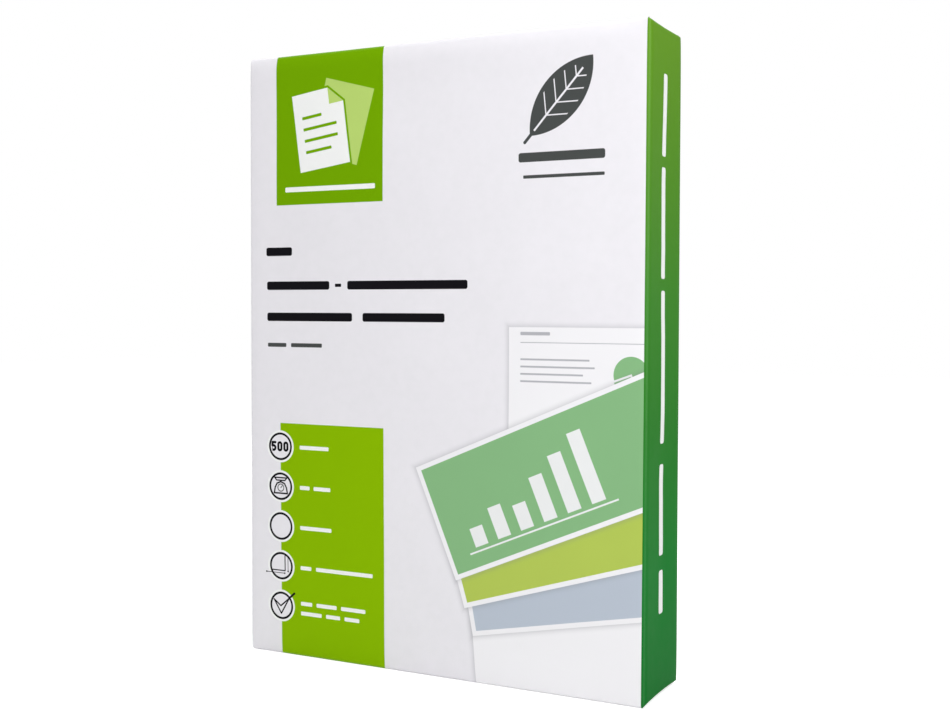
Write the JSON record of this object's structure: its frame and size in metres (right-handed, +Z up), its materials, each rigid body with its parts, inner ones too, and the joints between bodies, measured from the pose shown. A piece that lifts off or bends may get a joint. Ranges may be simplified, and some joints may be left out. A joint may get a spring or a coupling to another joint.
{
  "type": "ream of paper",
  "caption": "Sealed ream of office paper in a printed paper wrapper, with ends folded shut, standing on its lower end.",
  "frame": {"origin": "middle of the lower end, on the surface the pack stands on", "axes": "+Z up the pack, along its longest side; +Y from the printed front to the back, through its thickness"},
  "size_m": [0.211, 0.0459, 0.2984],
  "materials": {
    "wrapper": "satin coated paper, printed"
  },
  "bodies": {
    "root": {"wrapped_ream": "wrapper"}
  },
  "joints": []
}
